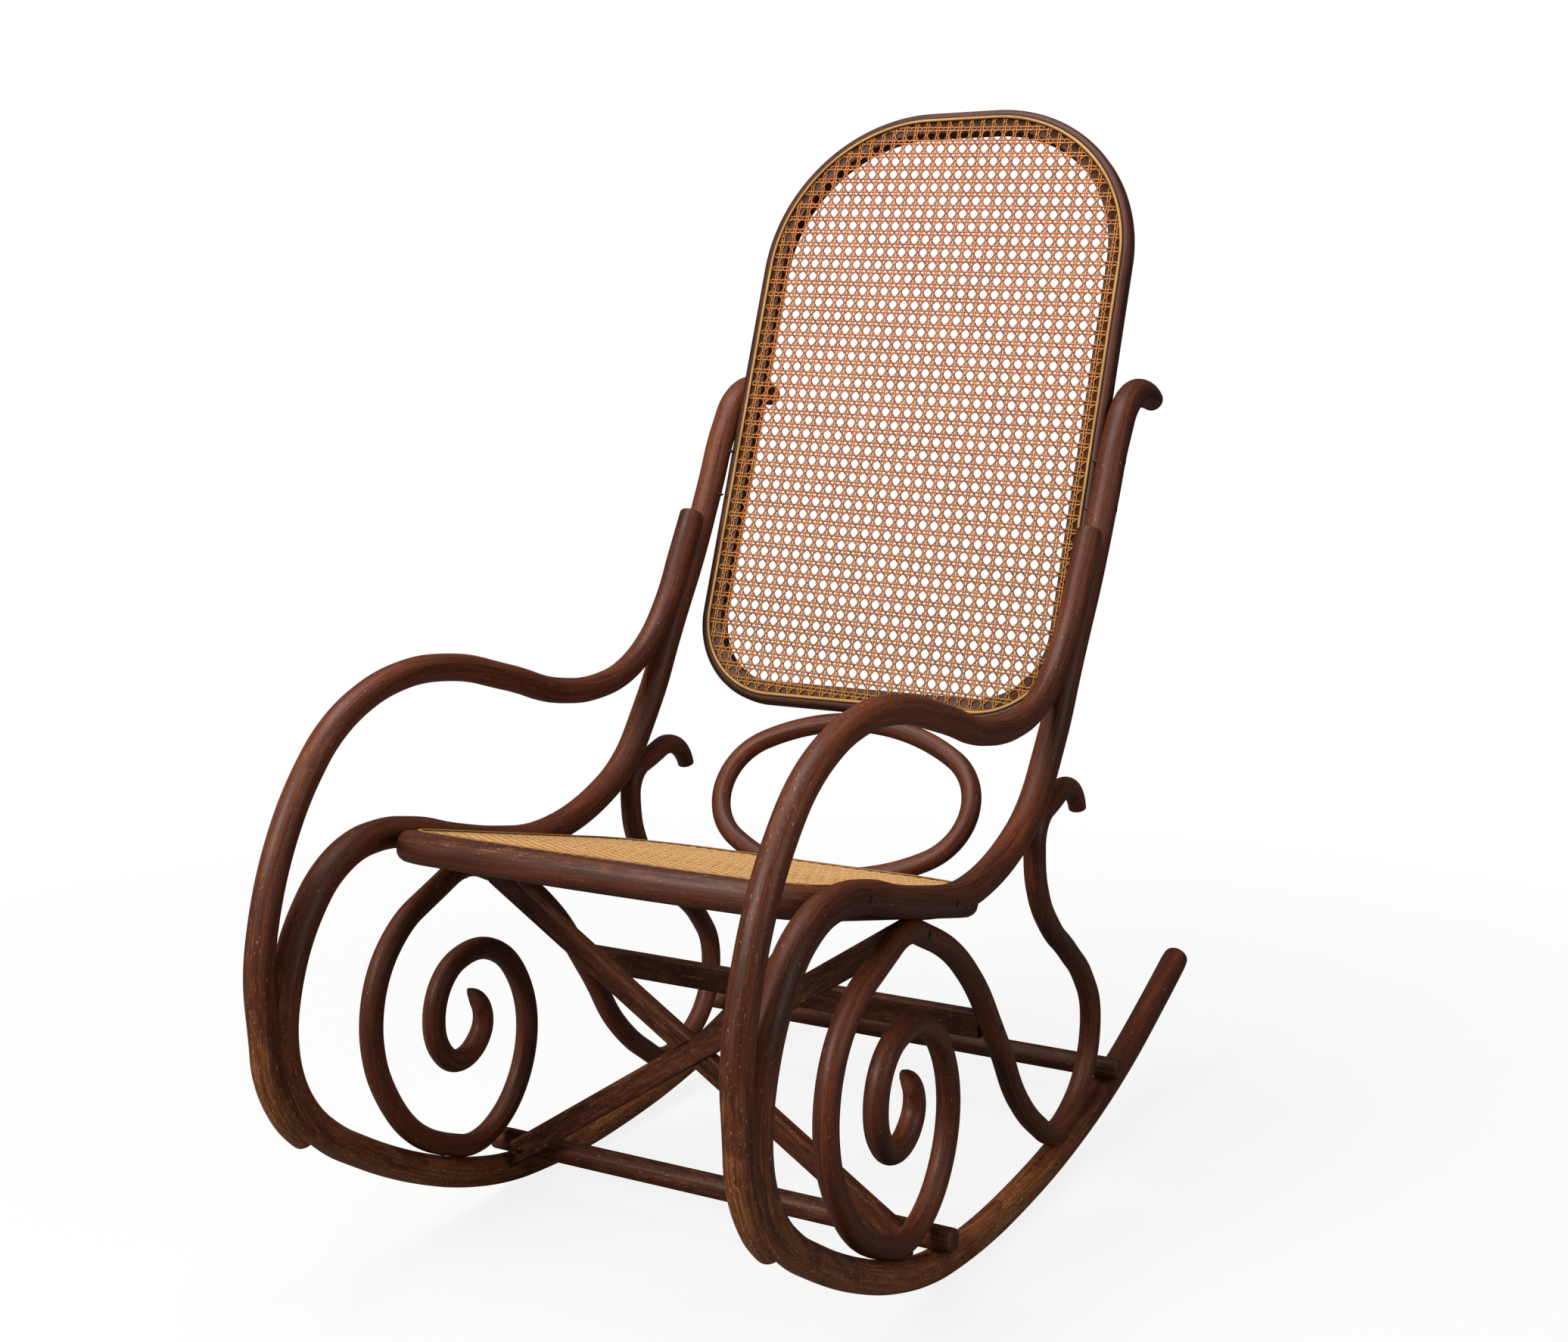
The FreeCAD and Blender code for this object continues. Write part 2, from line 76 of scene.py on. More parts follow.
SEAT_FIRST_ROW = 28 * MM
BACK_FIRST_ROW = 16 * MM
BACK_ROW_TILT = 0.045


# Bent centre lines, in the plane of a side frame: y + iz

LAYOUT_SHIFT = complex(32.645, -0.948)
LINE_STEP = 0.8 * MM
HOOP_STEP = 3 * MM


def side(y, z):
    """A point of the side frame, moved from its layout in millimetres to the model's place."""
    return (complex(y, z) + LAYOUT_SHIFT) * MM


def unit(v):
    """A direction as a complex number of length 1."""
    return v / abs(v)


def lengths(places):
    """The length of a line up to each of its points."""
    return np.append(0, np.cumsum(abs(np.diff(places))))


def arc(p, q, t, step):
    """Places and headings along the arc from p to q that leaves p along t.

    The heading turns evenly by twice the angle between t and the chord, and the place is the
    heading summed along the way, in closed form.
    """
    half_turn = np.angle((q - p) / t)
    length = abs(q - p) / np.sinc(half_turn / np.pi)
    count = max(2, int(length / step))
    u = np.arange(count) / count
    turn = 2 * half_turn * u
    places = p + t * length * u * np.exp(0.5j * turn) * np.sinc(turn / (2 * np.pi))
    return places, t * np.exp(1j * turn)


def bent(points):
    """A centre line through the points: two arcs a run, all tangent, like the steam-bent rod."""
    p = np.array(points)
    steps = np.diff(p)
    weights = steps / abs(steps) ** 2
    t = weights[:-1] + weights[1:]
    t = t / abs(t)
    ends = [unit(steps[0]) ** 2 * np.conj(t[0]), unit(steps[-1]) ** 2 * np.conj(t[-1])]
    t = np.concatenate([[ends[0]], t, [ends[1]]])
    places, headings = [], []
    for a, b, ta, tb in zip(p[:-1], p[1:], t[:-1], t[1:]):
        v, s = b - a, ta + tb
        along = (v * np.conj(s)).real
        k = max(2 * (1 - (ta * np.conj(tb)).real), 1e-9)
        d = (np.sqrt(along ** 2 + k * abs(v) ** 2) - along) / k
        joint = (a + b + (ta - tb) * d) / 2
        turned = unit(b - joint) ** 2 * np.conj(tb)
        for part in (arc(a, joint, ta, LINE_STEP), arc(joint, b, turned, LINE_STEP)):
            places.append(part[0])
            headings.append(part[1])
    return np.append(np.concatenate(places), p[-1]), np.append(np.concatenate(headings), t[-1])


def beside_rail(y, z, distance):
    """The point towards a layout point at a set distance from the side rail's centre line."""
    p = side(y, z)
    near = rail_line[0][np.argmin(abs(rail_line[0] - p))]
    return near + unit(p - near) * distance


rail_line = bent([side(y, z) for y, z in (
    (324, 750), (298, 757), (270, 758), (243, 746), (219, 715), (189, 655), (157, 594), (106, 511),
    (68, 446), (8, 378), (-36, 357), (-85, 344), (-140, 340), (-205, 350), (-260, 364),
    (-315, 381), (-360, 388), (-395, 385), (-429, 369), (-459, 337), (-481, 293), (-490, 245),
    (-484, 205), (-464, 168), (-436, 140), (-395, 112), (-325, 73), (-262, 46), (-190, 25.5),
    (-130, 17.9), (-68, 15), (0, 16.8), (90, 24.3), (190, 41), (285, 66), (375, 98), (456, 130))])

touch = RAIL_R + SCROLL_R + GAP
scroll_line = bent(
    [side(137, 362), side(124, 381), side(100, 390), side(72, 384), beside_rail(42, 360, touch)]
    + [side(y, z) for y, z in ((31, 326), (43, 294), (73, 259), (118, 225), (160, 189), (184, 152),
                               (185, 118), (168, 82), (134, 58))]
    + [beside_rail(90, 56, touch)]
    + [side(y, z) for y, z in ((41, 76), (1, 111), (-52, 185), (-112, 260), (-150, 292), (-195, 317))]
    + [beside_rail(-245, 333, touch)]
    + [side(y, z) for y, z in ((-295, 320), (-338, 300), (-368, 266), (-380, 225), (-377, 188),
                               (-360, 148), (-328, 108))]
    + [beside_rail(-284, 82, touch)]
    + [side(y, z) for y, z in ((-238, 68), (-194, 84), (-167, 116), (-156, 158), (-167, 205),
                               (-197, 240), (-240, 253), (-278, 240), (-295, 208), (-290, 176),
                               (-265, 155), (-238, 161), (-224, 183), (-231, 203), (-248, 211))])

# The arm's ends are let into the rail, the lower one deeper and deeper towards its tip
together = RAIL_R + ARM_R - ARM_BITE
arm_line = bent(
    [beside_rail(143, 636, together), beside_rail(125, 592, together + MM)]
    + [side(y, z) for y, z in ((104, 546), (71, 508), (18, 478), (-37, 470), (-97, 476), (-177, 500),
                               (-250, 519), (-318, 523), (-366, 514), (-418, 488), (-455, 450),
                               (-485, 401), (-504, 350), (-513, 300))]
    + [beside_rail(y, z, together - deeper * MM)
       for y, z, deeper in ((-520, 256, 0), (-512, 214, 2), (-492, 180, 5), (-468, 150, 9))])


# Materials

def linear(code):
    """An sRGB hex colour as the linear colour a shader takes."""
    v = np.array([int(code[i:i + 2], 16) / 255 for i in (1, 3, 5)])
    v = np.where(v <= 0.04045, v / 12.92, ((v + 0.055) / 1.055) ** 2.4)
    return (*v.tolist(), 1.0)


def add(tree, kind, sockets=None, stops=(), **settings):
    """One node with its settings, and a colour ramp's stops as places and hex colours.

    A socket, named or numbered, is linked where its value is a node or a node's output, and
    else set to the value.
    """
    node = tree.nodes.new("ShaderNode" + kind)
    for key, value in settings.items():
        setattr(node, key, value)
    for key, value in (sockets or {}).items():
        named = [socket for socket in node.inputs if socket.name == key and socket.enabled]
        socket = named[0] if named else node.inputs[key]
        if isinstance(value, bpy.types.Node):
            value = [output for output in value.outputs if output.enabled][0]
        if isinstance(value, bpy.types.NodeSocket):
            tree.links.new(value, socket)
        else:
            socket.default_value = value
    if stops:
        elements = node.color_ramp.elements
        while len(elements) < len(stops):
            elements.new(0.5)
        for element, (place, code) in zip(elements, stops):
            element.position = place
            element.color = linear(code)
    return node


def new_material(name):
    """An empty material and its node tree."""
    material = bpy.data.materials.new(name)
    material.use_nodes = True
    tree = material.node_tree
    tree.nodes.clear()
    return material, tree


# Wood patterns: cells per metre across and along the fibres, detail and roughness of the noise
WOOD_PATTERNS = {
    "fibre": (620, 16, 3.0, 0.55),   # streaks 1.6 by 62 mm, drawn wider than real fibres, to show
    "cloud": (45, 5, 4.0, 0.55),     # uneven stain, 22 by 200 mm
    "ray": (900, 130, 1.0, 0.55),    # beech's short rays, 1.1 by 8 mm
    "patch": (170, 45, 4.0, 0.65),   # rubbed places, 6 by 22 mm
    "chip": (700, 230, 2.0, 0.5),    # chips in the shellac, 1.4 by 4 mm
}
STRAIGHT_WEAR = 0.3


def shellacked_beech(name, turn=None, painted_shade_factor=1.0):
    """Beech, steam-bent, stained dark red-brown and shellacked.

    Fine fibres run along the rod and streak the stain; short rays fleck it. Where hands and feet
    rub, the stain has gone and warm bare wood shows in patches and specks.
    turn: None for a bent piece with its own grain coordinates, or the turn about Y of a
    straight piece whose fibres lie along X. painted_shade_factor: under 1 for a darker copy of
    the same beech, its whole colour multiplied down: painted shade.
    Rubbed is 3.2 (0.9 wear + patch - 0.74), held between 0 and 1. A chip shows where
    chip + 0.18 wear is over 0.735, and a ray where its noise is over 0.62.
    """
    material, tree = new_material(name)
    if turn is None:
        source = add(tree, "Attribute", attribute_name="grain").outputs["Vector"]
        wear = add(tree, "Attribute", attribute_name="wear").outputs["Fac"]
    else:
        place = add(tree, "TexCoord").outputs["Object"]
        source = add(tree, "Mapping", {"Vector": place, "Rotation": (0, turn, 0)})
        wear = STRAIGHT_WEAR
    noise = {}
    for pattern, (across, along, detail, roughness) in WOOD_PATTERNS.items():
        scale = (across, across, along) if turn is None else (along, across, across)
        moved = add(tree, "Mapping", {"Vector": source, "Scale": scale})
        noise[pattern] = add(tree, "TexNoise", {"Vector": moved, "Scale": 1.0, "Detail": detail,
                                                "Roughness": roughness})

    stain = add(tree, "ValToRGB", {"Fac": noise["fibre"]},
                ((0.30, "#32130a"), (0.50, "#5c2b17"), (0.70, "#84492a")))
    tone = add(tree, "ValToRGB", {"Fac": noise["cloud"]},
               ((0.34, "#31130a"), (0.50, "#5d2c17"), (0.66, "#8a4826")))
    colour = add(tree, "Mix", {"Factor": 0.5, "A": stain, "B": tone}, data_type="RGBA")
    fleck = add(tree, "Math", {0: noise["ray"], 1: 0.62}, operation="GREATER_THAN")
    fleck = add(tree, "Math", {0: fleck, 1: 0.45}, operation="MULTIPLY")
    colour = add(tree, "Mix", {"Factor": fleck, "A": colour, "B": linear("#1f0c06")}, data_type="RGBA")

    rubbed = add(tree, "Math", {0: wear, 1: 0.9, 2: noise["patch"]}, operation="MULTIPLY_ADD")
    rubbed = add(tree, "Math", {0: rubbed, 1: 0.74}, operation="SUBTRACT")
    rubbed = add(tree, "Math", {0: rubbed, 1: 3.2}, operation="MULTIPLY", use_clamp=True)
    bare = add(tree, "ValToRGB", {"Fac": noise["fibre"]},
               ((0.32, "#6e3816"), (0.52, "#95562a"), (0.68, "#b27942")))
    share = add(tree, "Math", {0: rubbed, 1: 0.8}, operation="MULTIPLY")
    colour = add(tree, "Mix", {"Factor": share, "A": colour, "B": bare}, data_type="RGBA")
    chip = add(tree, "Math", {0: wear, 1: 0.18, 2: noise["chip"]}, operation="MULTIPLY_ADD")
    chip = add(tree, "Math", {0: chip, 1: 0.735}, operation="GREATER_THAN")
    chip = add(tree, "Math", {0: chip, 1: 0.65}, operation="MULTIPLY")
    colour = add(tree, "Mix", {"Factor": chip, "A": colour, "B": linear("#c08e60")}, data_type="RGBA")
    # Painted shade: a darker copy of the same beech, its whole colour multiplied down
    if painted_shade_factor < 1:
        colour = add(tree, "Mix", {"Factor": 1.0, "A": colour, "B": (painted_shade_factor, painted_shade_factor, painted_shade_factor, 1)},
                     data_type="RGBA", blend_type="MULTIPLY")

    rough = add(tree, "Math", {0: noise["fibre"], 1: 0.20, 2: 0.42}, operation="MULTIPLY_ADD")
    rough = add(tree, "Math", {0: rubbed, 1: 0.12, 2: rough}, operation="MULTIPLY_ADD")
    relief = add(tree, "Math", {0: noise["ray"], 1: 0.5, 2: noise["fibre"]}, operation="MULTIPLY_ADD")
    bump = add(tree, "Bump", {"Height": relief, "Strength": 0.3, "Distance": 0.5 * MM})
    shader = add(tree, "BsdfPrincipled", {
        "Base Color": colour, "Roughness": rough, "Normal": bump, "IOR": 1.5,
        "Specular IOR Level": 0.32, "Coat Weight": 0.09, "Coat Roughness": 0.32})
    add(tree, "OutputMaterial", {"Surface": shader})
    return material


def cane_skin(name, light, dark, edge, rim_dirt_and_shade):
    """Rattan skin split into strips: a smooth, slightly glossy straw skin.

    Fibres 0.4 mm apart run along it and its tone wanders over 11 by 83 mm. Its cut edges are
    darkened, as shaded_rim to the power 0.6: partly grime in the cut edges, partly painted
    shade, the shadow lines beside and between the strips. It is browner toward the frame, where
    it has aged.
    """
    material, tree = new_material(name)
    source = add(tree, "Attribute", attribute_name="grain").outputs["Vector"]
    age = add(tree, "Attribute", attribute_name="wear").outputs["Fac"]
    shaded_rim = add(tree, "Attribute", attribute_name="shaded_rim").outputs["Fac"]
    fine = add(tree, "Mapping", {"Vector": source, "Scale": (2600, 2600, 60)})
    fibre = add(tree, "TexNoise", {"Vector": fine, "Scale": 1.0, "Detail": 2.0})
    slow = add(tree, "Mapping", {"Vector": source, "Scale": (90, 90, 12)})
    tone = add(tree, "TexNoise", {"Vector": slow, "Scale": 1.0, "Detail": 3.0})
    colour = add(tree, "ValToRGB", {"Fac": tone}, ((0.34, dark), (0.62, light)))
    streak = add(tree, "Math", {0: fibre, 1: 0.25}, operation="MULTIPLY")
    colour = add(tree, "Mix", {"Factor": streak, "A": colour, "B": linear(dark)}, data_type="RGBA")
    colour = add(tree, "Mix", {"Factor": age, "A": colour, "B": linear(edge)}, data_type="RGBA")
    # Painted shade with some grime: the strips' feet darkened toward #38180a, for the shadow lines beside
    # and between the strips
    dirt_and_shade = add(tree, "Math", {0: shaded_rim, 1: 0.6}, operation="POWER")
    dirt_and_shade = add(tree, "Math", {0: dirt_and_shade, 1: rim_dirt_and_shade}, operation="MULTIPLY")
    colour = add(tree, "Mix", {"Factor": dirt_and_shade, "A": colour, "B": linear("#38180a")}, data_type="RGBA")
    bump = add(tree, "Bump", {"Height": fibre, "Strength": 0.2, "Distance": 0.2 * MM})
    shader = add(tree, "BsdfPrincipled", {
        "Base Color": colour, "Normal": bump, "Roughness": 0.42, "IOR": 1.48,
        "Coat Weight": 0.15, "Coat Roughness": 0.3})
    add(tree, "OutputMaterial", {"Surface": shader})
    return material


def darkened_steel():
    """Steel wood screws under the same stain and years of polish: dark, dull, faintly brown.

    The spots are 1.1 mm wide, and the paler ones are rougher.
    """
    material, tree = new_material("darkened steel screws")
    place = add(tree, "TexCoord").outputs["Object"]
    spots = add(tree, "TexNoise", {"Vector": place, "Scale": 900.0, "Detail": 3.0})
    colour = add(tree, "ValToRGB", {"Fac": spots}, ((0.4, "#2b211c"), (0.65, "#5a4b40")))
    rough = add(tree, "Math", {0: spots, 1: 0.3, 2: 0.3}, operation="MULTIPLY_ADD")
    shader = add(tree, "BsdfPrincipled", {"Base Color": colour, "Roughness": rough, "Metallic": 0.85})
    add(tree, "OutputMaterial", {"Surface": shader})
    return material


beech = shellacked_beech("shellacked stained beech, bent")
# The back ring, seat ring and straight pieces are darker copies of the same beech: painted shade
beech_back = shellacked_beech("shellacked stained beech, back ring", painted_shade_factor=0.55)
beech_seat = shellacked_beech("shellacked stained beech, seat ring", painted_shade_factor=0.75)
beech_across = shellacked_beech("shellacked stained beech, straight", 0.0, 0.7)
seat_skin = cane_skin("woven rattan cane, seat", "#ffdca0", "#ffb062", "#d89f5a", 0.6)
back_skin = cane_skin("woven rattan cane, back", "#f38e42", "#bb5a1c", "#ac7727", 0.97)
strip_skin = cane_skin("rattan edge strip", "#dca653", "#a3702c", "#b98546", 0.9)
steel = darkened_steel()


# Meshes

ROD_SIDES = 28
ROD_STEP = 4 * MM
ROD_TIP_R = 0.02 * MM
END_RINGS = 4
CORNER_STEPS = 5
SHUT = 1000.0


def add_piece(name, corners, faces, material, stands_for, grain, wear, shaded_rim=None):
    """A mesh object in place, with its grain coordinates, wear and shaded_rim, the painted shade at the feet
    of cane strips, riding on the chair.
    """
    mesh = bpy.data.meshes.new(name)
    mesh.from_pydata(corners.reshape(-1, 3).tolist(), [], faces)
    mesh.polygons.foreach_set("use_smooth", np.ones(len(mesh.polygons), bool))
    for key, kind, field, values in (("grain", "FLOAT_VECTOR", "vector", grain),
                                     ("wear", "FLOAT", "value", wear), ("shaded_rim", "FLOAT", "value", shaded_rim)):
        if values is not None:
            layer = mesh.attributes.new(key, kind, "POINT")
            layer.data.foreach_set(field, values.astype(np.float32).ravel())
    mesh.materials.append(material)
    mesh.update()
    piece = bpy.data.objects.new(name, mesh)
    bpy.context.scene.collection.objects.link(piece)
    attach(piece, "root")
    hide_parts(stands_for)


def grid_faces(rows, columns, loop_rows=False, start=0):
    """Quads between the rows of a grid whose columns close on themselves."""
    r = np.arange(rows if loop_rows else rows - 1)[:, None]
    c = np.arange(columns)[None, :]
    next_r, next_c = (r + 1) % rows, (c + 1) % columns
    corners = (r * columns + c, next_r * columns + c, next_r * columns + next_c, r * columns + next_c)
    return (np.stack(np.broadcast_arrays(*corners), -1).reshape(-1, 4) + start).tolist()


def rod(node, line, x, radius, wear, offset, first=0.0, last=None, cut=None, end_round=3 * MM):
    """A round rod: circles carried along a centre line, closed by rounded ends.

    A point at angle a and arc length s is centre(s) + r(s) (cos a along X + sin a along the
    normal). r falls by a quarter circle at both ends and then shuts to a point. The grain
    coordinate is the point's place in the straight rod before bending: r cos a, r sin a, s. The
    offset moves it, so that no two pieces show the same grain.
    """
    places, headings = line
    run = lengths(places)
    last = run[-1] if last is None else last
    quarter = np.linspace(0, np.pi / 2, END_RINGS + 2)[1:-1]
    middle = np.linspace(first + end_round, last - end_round, int((last - first) / ROD_STEP))
    s = np.concatenate([[first, first], first + end_round * (1 - np.cos(quarter)), middle,
                        last - end_round * (1 - np.cos(quarter[::-1])), [last, last]])
    fall = np.concatenate([[SHUT, 1], 1 - np.sin(quarter), middle * 0, 1 - np.sin(quarter[::-1]), [1, SHUT]])
    r = np.maximum(radius((s - first) / (last - first)) - end_round * fall, ROD_TIP_R)
    centre = np.interp(s, run, places.real) + 1j * np.interp(s, run, places.imag)
    normal = 1j * np.exp(1j * np.interp(s, run, np.unwrap(np.angle(headings))))[:, None]
    a = np.linspace(0, 2 * np.pi, ROD_SIDES, endpoint=False)
    across = r[:, None] * np.cos(a)
    up = r[:, None] * np.sin(a)
    if cut is not None:
        across, up = cut(s[:, None], r[:, None], across, up)
    flat = centre[:, None] + normal * up
    corners = np.stack([x + across, flat.real, flat.imag], -1)
    grain = np.stack([across + offset, up, np.broadcast_to(s[:, None], up.shape)], -1)
    facing = normal * np.sin(a)
    outward = np.stack([np.broadcast_to(np.cos(a), up.shape), facing.real, facing.imag], -1)
    faces = grid_faces(len(s), ROD_SIDES)
    cap = np.arange(ROD_SIDES)
    faces += [cap[::-1].tolist(), (cap + (len(s) - 1) * ROD_SIDES).tolist()]
    add_piece(node + "_wood", corners, faces, beech, node, grain, wear(outward, corners))


def closed_path(knots):
    """Arcs through the knots, each one leaving along the heading that the last one came to."""
    places, headings, t = [], [], 1 + 0j
    for p, q in zip(knots[:-1], knots[1:]):
        part, turned = arc(p, q, t, HOOP_STEP)
        places.append(part)
        headings.append(turned)
        t = t * unit((q - p) / t) ** 2
    return np.concatenate(places), np.concatenate(headings)


def outline(half_w, length, near_r, far_r, bow=0.0):
    """A rounded frame outline u + iv from the middle of its near edge round to the right.

    The near edge is an arc of radius (w^2 + bow^2) / 2 bow; each corner is a circle that
    touches its two edges.
    """
    if bow:
        wide = (half_w ** 2 + bow ** 2) / (2 * bow)
        corner = complex(half_w - near_r, wide - np.sqrt((wide - near_r) ** 2 - (half_w - near_r) ** 2))
        touch_near = 1j * wide + unit(corner - 1j * wide) * wide
        touch_side = complex(half_w, corner.imag)
    else:
        touch_near, touch_side = complex(half_w - near_r, 0), complex(half_w, near_r)
    right = [touch_near, touch_side, complex(half_w, length - far_r), complex(half_w - far_r, length)]
    left = [-np.conj(k) for k in right[::-1]]
    return closed_path([0j] + right + left + [0j])


def rounded(corners, radii):
    """A closed profile u + iv whose corners are rounded by quarter-like curves."""
    points = []
    for i, (c, r) in enumerate(zip(corners, radii)):
        into, away = unit(corners[i - 1] - c), unit(corners[(i + 1) % len(corners)] - c)
        if r == 0:
            points.append(c)
            continue
        k = np.linspace(0, 1, CORNER_STEPS)
        points += list(c + into * r * (1 - np.sin(k * np.pi / 2)) + away * r * (1 - np.cos(k * np.pi / 2)))
    return np.array(points)


def on_seat(plane, height):
    """Seat plane to space: v runs back and down the slope, the height stands square to it."""
    y, z = SEAT_EDGE
    c, s = np.cos(SEAT_SLOPE), np.sin(SEAT_SLOPE)
    return np.stack([plane.real, y + plane.imag * c + height * s, z - plane.imag * s + height * c], -1)


def on_back(plane, height):
    """Back plane to space: v runs up the leaning back, the height faces the sitter."""
    y, z = BACK_EDGE
    c, s = np.cos(BACK_LEAN), np.sin(BACK_LEAN)
    return np.stack([plane.real, y + plane.imag * s - height * c, z + plane.imag * c + height * s], -1)


def hoop(name, path, profile, place, material, stands_for, wear, offset, shaded_rim=None):
    """A closed hoop: a profile (inset, height) carried round an outline.

    A point is path + inset along the inward normal, at its height over the plane. wear is a
    number or a function of the plane's points and their heights, shaded_rim a function of the
    height, which darkens the foot of a strip with painted shade.
    """
    places, headings = path
    inset, height = profile.real[None, :], profile.imag[None, :]
    plane = places[:, None] + 1j * headings[:, None] * inset
    height = np.broadcast_to(height, plane.shape)
    run = np.broadcast_to(lengths(places)[:, None], plane.shape)
    grain = np.stack([np.broadcast_to(inset, plane.shape) + offset, height, run], -1)
    worn = wear(plane, height) if callable(wear) else np.full(plane.shape, wear)
    dark = None if shaded_rim is None else shaded_rim(height)
    faces = grid_faces(len(places), len(profile), True)
    add_piece(name, place(plane, height), faces, material, stands_for, grain, worn, dark)


# The two side frames

def bump_at(value, middle, width):
    """A smooth hump, exp(-((value - middle) / width)^2)."""
    return np.exp(-((value - middle) / width) ** 2)


def rail_wear(outward, corners):
    """Rubbed on the front curve, most at 100 mm over the floor and where it faces forward, and
    on the lowest 60 mm ahead of the chair's middle; a little everywhere else."""
    y, z = corners[..., 1], corners[..., 2]
    front = bump_at(z, 0.10, 0.17) * (y < 0.0) * np.clip((-0.10 - y) / 0.16, 0, 1)
    facing = 0.6 + 0.4 * np.clip(-outward[..., 1] * 0.8 - outward[..., 2] * 0.3, -1, 1)
    low = bump_at(z, 0.0, 0.06) * (y < 0.0)
    return 0.08 + 0.6 * front * facing + 0.4 * low


def arm_wear(outward, corners):
    """Rubbed along the front curve of the arm, from 280 mm ahead of the chair's middle, most
    where it comes down to 130 mm, and on top of its front bend; a little everywhere else."""
    y, z = corners[..., 1], corners[..., 2]
    front = np.clip((-0.28 - y) / 0.14, 0, 1)
    facing = 0.5 + 0.5 * np.clip(-outward[..., 1], -1, 1)
    top = bump_at(z, 0.46, 0.04) * bump_at(y, -0.40, 0.05) * np.clip(outward[..., 2], 0, 1)
    low = bump_at(z, 0.13, 0.13)
    return 0.07 + front * facing * (0.1 + 0.65 * low) + 0.2 * top


def runner_wear(outward, corners):
    """Scuffed on the lowest 70 mm, and fading from the middle of the chair to 300 mm behind it."""
    y, z = corners[..., 1], corners[..., 2]
    return 0.12 + 0.95 * bump_at(z, 0.0, 0.07) * np.clip((0.3 - y) / 0.4, 0, 1)


def scroll_wear(outward, corners):
    """A little and the same all along."""
    return np.full(corners.shape[:-1], 0.08)


def tapered(first, last, share, full):
    """The radius along a rod: full, narrowing over a share of its length to first and last."""
    def radius(u):
        start = np.clip(1 - u / share, 0, 1) ** 1.5
        end = np.clip(1 - (1 - u) / share, 0, 1) ** 1.5
        return full - (full - first) * start - (full - last) * end
    return radius


def slanted(middle, slope, sign):
    """Cuts a section on a slanting plane: points past it move on to the chord of the circle
    at height (s - middle) slope. sign is 1 to keep what lies above it."""
    def cut(s, r, across, up):
        level = np.clip((s - middle) * slope, -r, r) + sign * GAP / 2
        past = (up - level) * sign < 0
        reach = np.sqrt(np.maximum(r ** 2 - level ** 2, 0))
        return np.where(past, np.clip(across, -reach, reach), across), np.where(past, level, up)
    return cut


# The scarf's middle along the rail, the slant of the scroll's tip, and edges left on cut ends
scarf_s = lengths(rail_line[0])[np.argmin(abs(rail_line[0] - side(-105, 20)))]
scarf_slope = 2 * RAIL_R / SCARF_LENGTH
nib_s = lengths(scroll_line[0])[-1] - NIB / 2
nib_slope = -2 * SCROLL_R / NIB
EDGE_ROUND = 1 * MM

for side_name, x in (("left", FRAME_X), ("right", -FRAME_X)):
    rod("side_rail_" + side_name, rail_line, x, tapered(11 * MM, 14 * MM, 0.02, RAIL_R), rail_wear, x,
        last=scarf_s + SCARF_LENGTH / 2, cut=slanted(scarf_s, scarf_slope, 1), end_round=EDGE_ROUND)
    rod("runner_" + side_name, rail_line, x, tapered(14 * MM, 13 * MM, 0.02, RAIL_R), runner_wear, x + 0.3,
        first=scarf_s - SCARF_LENGTH / 2, cut=slanted(scarf_s, scarf_slope, -1))
    rod("arm_" + side_name, arm_line, x, tapered(12.5 * MM, 12 * MM, 0.03, ARM_R), arm_wear, x + 0.6)
    rod("scroll_" + side_name, scroll_line, x, tapered(8.5 * MM, 7.5 * MM, 0.035, SCROLL_R), scroll_wear,
        x + 0.9, cut=slanted(nib_s, nib_slope, -1), end_round=EDGE_ROUND)


# Seat and back rings, the strips over the cane's edge, and the oval between the rings

def seat_wear(plane, height):
    """Rubbed along the front edge, where legs slide over it."""
    return 0.05 + 0.28 * np.clip(1 - plane.imag / (60 * MM), 0, 1) * bump_at(height, -5 * MM, 6 * MM)


def ring_section(width, thickness, rebate, outer_r):
    """A ring cut across: rounded outside, with a rebate in its inner upper edge for the cane."""
    corners = [complex(width, -thickness), complex(width, -REBATE_DEPTH), complex(rebate, -REBATE_DEPTH),
               complex(rebate, 0), 0j, complex(0, -thickness)]
    return rounded(corners, [3 * MM, 1 * MM, 0, 0.5 * MM, outer_r, outer_r])[::-1]


def strip_section(inset):
    """A crowned strip 4.4 mm wide at its foot, 1.8 mm on its crown and 1.3 mm thick."""
    corners = ((4.5, 0.05), (3.2, 1.35), (1.4, 1.35), (0.1, 0.05))
    return rounded([inset + complex(u, v) * MM for u, v in corners], [0, 0.6 * MM, 0.6 * MM, 0])[::-1]


def strip_shaded_rim(height):
    """1 at the foot of the strip and 0 on its crown: the foot is darkened, painted shade along the strip's
    sides with some grime, which makes the strip look thinner.
    """
    return np.clip(1.15 - height / (1.1 * MM), 0, 1)


